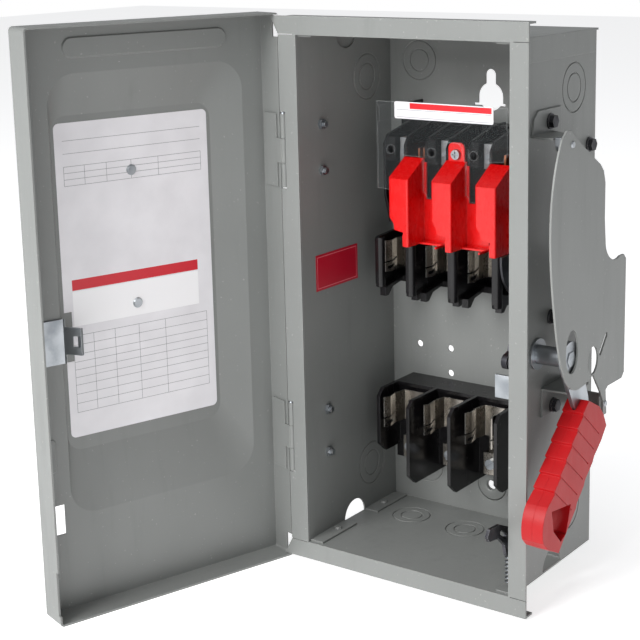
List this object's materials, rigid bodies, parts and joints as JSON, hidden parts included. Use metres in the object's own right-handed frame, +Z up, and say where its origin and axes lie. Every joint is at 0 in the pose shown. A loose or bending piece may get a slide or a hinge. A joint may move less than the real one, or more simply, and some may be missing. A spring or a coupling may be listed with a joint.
{
  "type": "fusible safety disconnect switch",
  "caption": "Wall-mounted grey steel disconnect box with open hinged door, red side handle, guard plate, red arc cover, clear line shield and empty fuse clips.",
  "frame": {"origin": "centre of the box's back face, which lies on the wall, halfway between its side walls and its end plates", "axes": "+X to the handle side, +Y into the wall, +Z up"},
  "size_m": [0.3207, 0.3183, 0.432],
  "materials": {
    "enamel": "light grey baked enamel on sheet steel, fine orange-peel gloss",
    "black_moulding": "black phenolic moulding, semi-gloss",
    "red_moulding": "bright red moulded polycarbonate",
    "red_handle": "deep red moulded handle",
    "clear_plastic": "clear polycarbonate sheet with polished edges",
    "zinc": "zinc-plated steel with spangled sheen",
    "nickel_copper": "nickel-plated copper alloy",
    "copper": "bare copper, slightly tarnished",
    "dark_steel": "dark phosphated steel",
    "aluminium_lug": "tin-plated aluminium lug",
    "white_label": "printed white film label with plain red band and grey blocks",
    "red_label": "plain red film label"
  },
  "bodies": {
    "enclosure": {"arc_cover": "red_moulding", "back_wall": "enamel", "bottom_end_wall": "enamel", "bracket_bolts": "dark_steel", "clip_springs": "dark_steel", "cover_screw": "zinc", "ground_marks": "zinc", "guard_plate": "enamel", "guard_rivets": "zinc", "guard_spacer": "zinc", "hinge_fixed_leaves": "enamel", "hinge_pins": "zinc", "hinge_screws": "zinc", "latch_pivot": "zinc", "latch_spring": "dark_steel", "left_flange": "enamel", "left_wall": "enamel", "line_base": "black_moulding", "line_jaws": "copper", "line_lug_screws": "zinc", "line_lugs": "aluminium_lug", "load_base": "black_moulding", "load_contacts": "copper", "load_lug_screws": "zinc", "load_lugs": "nickel_copper", "lower_bracket": "enamel", "lower_fuse_clips": "nickel_copper", "mechanism_plate": "zinc", "mechanism_shield": "dark_steel", "right_flange": "enamel", "right_wall": "enamel", "shaft_bushing": "dark_steel", "shield_brackets": "dark_steel", "side_label": "red_label", "top_end_wall": "enamel", "upper_bracket": "enamel", "upper_fuse_clips": "nickel_copper", "wall_rivets": "enamel"},
    "door": {"door": "enamel", "door_catch": "zinc", "door_label": "white_label", "label_rivets": "zinc", "hinge_moving_leaves": "enamel"},
    "handle": {"operating_shaft": "zinc", "shaft_crank": "zinc", "shaft_nut": "zinc", "handle_lever": "zinc", "grip_left": "red_handle", "grip_right": "red_handle"},
    "drive_link": {"drive_link": "zinc"},
    "rotor": {"rotor_bar": "black_moulding", "moving_blades": "copper", "rotor_arm": "zinc"},
    "shield": {"line_shield": "clear_plastic", "shield_label": "white_label"},
    "latch": {"latch_hook": "dark_steel"}
  },
  "joints": [
    {"name": "door_hinge", "type": "hinge", "parent": "enclosure", "child": "door", "pos_m": [-0.1052, -0.1249, 0], "axis": [0, 0, 1], "range_deg": [-30, 108]},
    {"name": "handle_throw", "type": "hinge", "parent": "enclosure", "child": "handle", "pos_m": [0.068, -0.089, -0.026], "axis": [-1, 0, 0], "range_deg": [0, 100]},
    {"name": "link_swing", "type": "hinge", "parent": "handle", "child": "drive_link", "pos_m": [0.068, -0.10204, -0.03111], "axis": [-1, 0, 0], "range_deg": [-100, 0]},
    {"name": "rotor_turn", "type": "hinge", "parent": "enclosure", "child": "rotor", "pos_m": [0.068, -0.041, 0.062], "axis": [-1, 0, 0], "range_deg": [0, 100]},
    {"name": "shield_lift", "type": "hinge", "parent": "enclosure", "child": "shield", "pos_m": [0.068, -0.017, 0.136], "axis": [-1, 0, 0], "range_deg": [0, 70]},
    {"name": "latch_pivot", "type": "hinge", "parent": "enclosure", "child": "latch", "pos_m": [0.068, -0.115, -0.166], "axis": [-1, 0, 0], "range_deg": [-8, 12], "stiffness_Nm_per_rad": 0.02}
  ],
  "couplings": [
    {"joint": "link_swing", "follows": "handle_throw", "ratio": -1},
    {"joint": "rotor_turn", "follows": "handle_throw", "ratio": 1}
  ]
}
